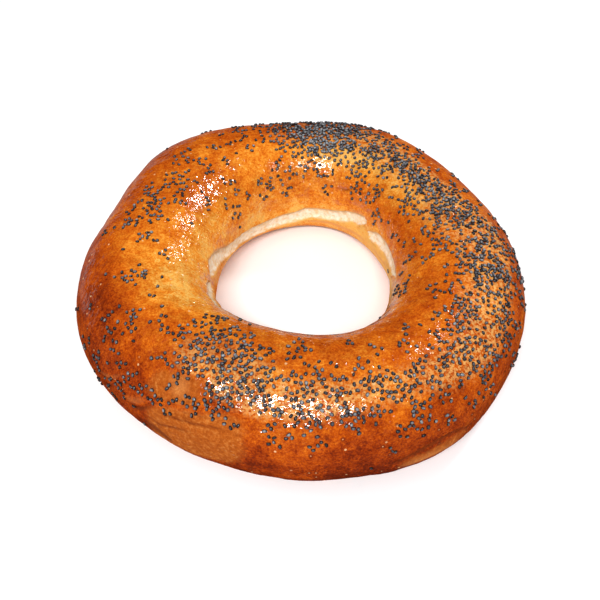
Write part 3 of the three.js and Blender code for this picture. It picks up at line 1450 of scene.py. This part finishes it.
    def tip(self, point: int, first: int, tip_u: float, ring_u: float) -> tuple:
        """The fan of triangles that closes one end of a seed.

        Args:
            point: Number of the tip's point.
            first: Number of the first point of the ring next to it.
            tip_u: The tip's u in the map.
            ring_u: That ring's u.

        Returns:
            The triangles and the (u, v) of their corners.
        """
        step = np.arange(self.around_seed)
        after = (step + 1) % self.around_seed
        fan = np.stack([np.full_like(step, point), first + step, first + after], axis=-1)
        u = np.tile([tip_u, ring_u, ring_u], (self.around_seed, 1))
        v = np.stack([step + 0.5, step, step + 1], axis=-1) / self.around_seed
        return fan, np.stack([u, v], axis=-1)

    def settle(self, ring: BakedRing) -> dict:
        """Lets the seeds land on the crust, one layer and then the piles, and notes the beds that they make.

        Args:
            ring: The baked ring.

        Returns:
            The seeds' places, normals, lifts above the crust in mm, and how deep a pile each is part of.
        """
        rng = np.random.default_rng(self.random_seed)
        cover = self.cover(ring)
        line, row = self.scatter(ring, cover, rng)
        order = rng.permutation(len(line))
        line, row = line[order], row[order]
        places, normals = ring.spots(line, row)
        kept = self.thin(places, self.gap * MM)
        pile = ease(cover, *self.pile_band)
        lines, rows = pile.shape
        heap = pile[line.astype(int) % lines, row.astype(int) % rows]
        layers = [(np.flatnonzero(kept), self.first_lift)]
        for lift, share in self.pile_layers:
            extra = ~kept & (rng.uniform(size=len(kept)) < heap * share)
            chosen = np.flatnonzero(extra)
            chosen = chosen[self.thin(places[chosen], self.pile_gap * MM)]
            layers.append((chosen, lift))
            kept[chosen] = True
        pale = np.sum([patch.bell(ring.turns, ring.arounds) for patch in self.pale_beds], axis=0)
        self.bed = ease(cover, *self.bed_band) * (self.bed_least + pale)
        chosen = np.concatenate([numbers for numbers, _ in layers])
        lifts = np.concatenate([np.full(len(numbers), lift) for numbers, lift in layers])
        return {"places": places[chosen], "normals": normals[chosen], "lifts": lifts, "heaps": heap[chosen]}

    def build(self, ring: BakedRing, finish: SeedFinish) -> list:
        """Makes the seeds of each quarter of the ring into one piece, dresses it and hands it to the frame.

        Args:
            ring: The baked ring.
            finish: The seeds' finish.

        Returns:
            The seed pieces.
        """
        seeds = self.settle(ring)
        rng = np.random.default_rng(self.random_seed + 1)
        count = len(seeds["places"])
        normals = seeds["normals"] + rng.normal(0.0, self.tilt, (count, 3))
        normals /= np.linalg.norm(normals, axis=1, keepdims=True)
        aside = np.cross(normals, rng.normal(size=(count, 3)))
        aside /= np.linalg.norm(aside, axis=1, keepdims=True)
        ahead = np.cross(normals, aside)
        mean = (self.seed_length, self.seed_width, self.seed_height)
        sizes = mean * rng.normal(1.0, self.size_spread, (count, 3))
        centres = seeds["places"] + seeds["normals"] * (seeds["lifts"] * MM)[:, None]
        axes = np.stack([ahead, aside, normals], axis=1) * (sizes / 2.0 * MM)[:, :, None]
        unit, triangles, corner_map = self.template()
        points = centres[:, None, :] + unit @ axes
        tones = rng.normal(self.tone, self.tone_spread, count) + self.heap_tone * seeds["heaps"]
        tones = np.clip(tones, *self.tone_limits)
        heights = np.broadcast_to(unit[:, 2], (count, len(unit)))
        heading = np.degrees(np.arctan2(centres[:, 1], centres[:, 0])) % FULL_TURN
        material = finish.material()
        pieces = []
        for quarter, name in enumerate(("back_right", "back_left", "front_left", "front_right")):
            mine = heading // 90 == quarter
            piece = self.make_quarter(name, points[mine], triangles, corner_map)
            store_field(piece, SeedField.TONE.value, np.repeat(tones[mine], len(unit)))
            # How low each point lies on its seed, for the painted crown highlight, the painted side shade
            # and the dark rim of glaze and painted shade.
            store_field(piece, SeedField.GLAZE_AND_SHADE_RIM.value, ease(heights[mine].ravel(), *self.glaze_and_shade_rim_band))
            piece.data.materials.append(material)
            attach(piece, BODY)
            LOG.info("%s: %d seeds", piece.name, mine.sum())
            pieces.append(piece)
        return pieces

    def make_quarter(
        self, name: str, points: np.ndarray, triangles: np.ndarray, corner_map: np.ndarray
    ) -> bpy.types.Object:
        """Joins the seeds of one quarter into a mesh, with a cell of the map for each.

        Args:
            name: The quarter's name.
            points: Seed points, by seed and point.
            triangles: The triangles of one seed.
            corner_map: The (u, v) of each corner of one seed.

        Returns:
            The piece.
        """
        count, corners = points.shape[:2]
        faces = triangles[None] + (np.arange(count) * corners)[:, None, None]
        piece = make_piece(f"poppy_seeds_{name}", points.reshape(-1, 3), faces.reshape(-1, 3))
        across = int(np.ceil(np.sqrt(count)))
        cell = np.stack([np.arange(count) % across, np.arange(count) // across], axis=-1)
        inside = self.map_margin + (1.0 - 2.0 * self.map_margin) * corner_map[None]
        store_map(piece, ((cell[:, None, None, :] + inside) / across).reshape(-1, 2))
        return piece


# ---------------------------------------------------------------- the studio


@dataclass(frozen=True)
class Softbox:
    """A soft rectangular light that looks at the middle of the ring's footprint.

    Attributes:
        name: The light's name.
        towards: The way to it from there.
        distance: How far off it is, in metres.
        width: Its width, in metres.
        height: Its height, in metres.
        watts: Its power.
        mirrored: Whether the glaze mirrors it.
    """

    name: str
    towards: tuple
    distance: float
    width: float
    height: float
    watts: float
    mirrored: bool = True


@dataclass
class Studio:
    """A plain pale floor, soft lights and the camera.

    Lengths are in metres, colours are linear, and the camera's lens and sensor are in mm.

    Attributes:
        target: The place that the camera looks at.
        elevation: How far above the floor it stands, in degrees.
        distance: How far it is from the target.
        lens: Its focal length.
        sensor: Its sensor's width.
        clip: The nearest and the farthest thing that it sees.
        floor_size: The floor's edge.
        floor_depth: How far it lies under the ring.
        floor_colour: Its colour.
        floor_roughness: Its roughness.
        floor_specular: Its specular level.
        floor_glow: Strength of its own white light.
        card_size: The width and depth of the card behind the ring.
        card_back: How far behind the hole's axis its middle is.
        card_lift: How far it lies above the floor.
        card_watts: Its power.
        sky: The room's colour.
        sky_strength: How much it lights the crust.
        backdrop_strength: How bright it is where the camera sees it.
        softboxes: The lights.
    """

    target: tuple = (-0.000205, -0.00693, 0.0120)
    elevation: float = 47.4
    distance: float = 0.2003
    lens: float = 48.24
    sensor: float = 36.0
    clip: tuple = (0.01, 20.0)
    floor_size: float = 0.9
    floor_depth: float = 0.00005
    floor_colour: tuple = (0.93, 0.945, 0.955)
    floor_roughness: float = 0.9
    floor_specular: float = 0.2
    floor_glow: float = 0.10
    card_size: tuple = (0.34, 0.24)
    card_back: float = 0.13
    card_lift: float = 0.0005
    card_watts: float = 0.16
    sky: tuple = (1.0, 1.0, 1.0)
    sky_strength: float = 0.28
    backdrop_strength: float = 1.15
    softboxes: tuple = (
        Softbox("front_softbox", (-0.10, -0.62, 0.78), 0.9, 0.46, 0.085, 6.5),
        Softbox("overhead_softbox", (-0.30, -0.25, 0.92), 0.9, 0.8, 0.8, 1.8, mirrored=False),
        Softbox("back_right_softbox", (0.54, 0.53, 0.66), 0.9, 0.12, 0.12, 2.3),
    )

    def build(self) -> None:
        """Makes the floor, the lights, the surroundings and the camera."""
        self.lay_floor()
        self.lay_card()
        for softbox in self.softboxes:
            self.hang(softbox)
        self.paint_room()
        bpy.context.scene.view_settings.view_transform = "Standard"
        self.set_camera()

    def paint_room(self) -> None:
        """Surrounds the floor with an even pale room that lights the crust but isn't mirrored in its glaze.

        The room's strength is the sky's where light leaves a rough surface, none where a gloss mirrors it,
        and the backdrop's where the camera looks straight at it.
        """
        world = bpy.data.worlds.new("pale_room")
        world.use_nodes = True
        tree = world.node_tree
        background = tree.nodes["Background"]
        background.inputs["Color"].default_value = (*self.sky, 1.0)
        path = tree.nodes.new("ShaderNodeLightPath")
        dimmed = tree.nodes.new("ShaderNodeMath")
        dimmed.operation = "MULTIPLY_ADD"
        dimmed.inputs[1].default_value = -self.sky_strength
        dimmed.inputs[2].default_value = self.sky_strength
        tree.links.new(path.outputs["Is Glossy Ray"], dimmed.inputs[0])
        seen = tree.nodes.new("ShaderNodeMath")
        seen.operation = "MULTIPLY_ADD"
        seen.inputs[1].default_value = self.backdrop_strength - self.sky_strength
        tree.links.new(path.outputs["Is Camera Ray"], seen.inputs[0])
        tree.links.new(dimmed.outputs[0], seen.inputs[2])
        tree.links.new(seen.outputs[0], background.inputs["Strength"])
        bpy.context.scene.world = world

    def lay_floor(self) -> None:
        """Lays a square floor just under the ring."""
        half = self.floor_size / 2.0
        corners = np.array([(-half, -half), (half, -half), (half, half), (-half, half)])
        corners = np.column_stack([corners, np.full(len(corners), -self.floor_depth)])
        floor = make_piece("floor", corners, np.array([[0, 1, 2, 3]]))
        board = Board("pale_floor")
        board.join((*self.floor_colour, 1.0), board.shader.inputs["Base Color"])
        board.join(self.floor_roughness, board.shader.inputs["Roughness"])
        board.join(self.floor_specular, board.shader.inputs["Specular IOR Level"])
        board.join((1.0, 1.0, 1.0, 1.0), board.shader.inputs["Emission Color"])
        board.join(self.floor_glow, board.shader.inputs["Emission Strength"])
        floor.data.materials.append(board.material)
        floor.visible_glossy = False

    @staticmethod
    def area_lamp(name: str, size: tuple, watts: float) -> bpy.types.Object:
        """Makes a rectangular area light.

        Args:
            name: The light's name.
            size: Its width and height, in metres.
            watts: Its power.

        Returns:
            The light's object, at the origin and linked to the scene.
        """
        light = bpy.data.lights.new(name, "AREA")
        light.shape = "RECTANGLE"
        light.size, light.size_y = size
        light.energy = watts
        lamp = bpy.data.objects.new(name, light)
        bpy.context.scene.collection.objects.link(lamp)
        return lamp

    def lay_card(self) -> None:
        """Lays a card behind the ring that shines up: it shows only as a pale line in the rim's gloss."""
        lamp = self.area_lamp("rim_card", self.card_size, self.card_watts)
        lamp.location = (0.0, self.card_back, self.card_lift)
        lamp.rotation_euler = (math.pi, 0.0, 0.0)
        lamp.visible_camera = False
        lamp.visible_diffuse = False
        lamp.visible_transmission = False

    def hang(self, softbox: Softbox) -> None:
        """Hangs one softbox.

        Args:
            softbox: Its place, size and power.
        """
        lamp = self.area_lamp(softbox.name, (softbox.width, softbox.height), softbox.watts)
        way = Vector(softbox.towards).normalized()
        lamp.location = way * softbox.distance
        lamp.rotation_euler = way.to_track_quat("Z", "Y").to_euler()
        lamp.visible_glossy = softbox.mirrored

    def set_camera(self) -> None:
        """Puts the camera in front of the ring, looking down on it."""
        camera = bpy.data.cameras.new("camera")
        camera.lens, camera.sensor_width = self.lens, self.sensor
        camera.clip_start, camera.clip_end = self.clip
        camera.dof.use_dof = False
        eye = bpy.data.objects.new("camera", camera)
        rise = np.radians(self.elevation)
        away = Vector((0.0, -np.cos(rise), np.sin(rise)))
        eye.location = Vector(self.target) + away * self.distance
        eye.rotation_euler = away.to_track_quat("Z", "Y").to_euler()
        bpy.context.scene.collection.objects.link(eye)
        bpy.context.scene.camera = eye


def main() -> None:
    """Builds the ring, its seeds and the studio, and reports each piece."""
    logging.basicConfig(level=logging.INFO, format="%(name)s: %(message)s")
    ring = BakedRing()
    piece = ring.build()
    LOG.info("%s: %d faces", piece.name, len(piece.data.polygons))
    seeds = PoppySeeds()
    seeds.build(ring, SeedFinish())
    ring.dress(piece, seeds.bed, CrustFinish())
    Studio().build()
    LOG.info("studio: floor, lights and camera")


if __name__ == "__main__":
    main()
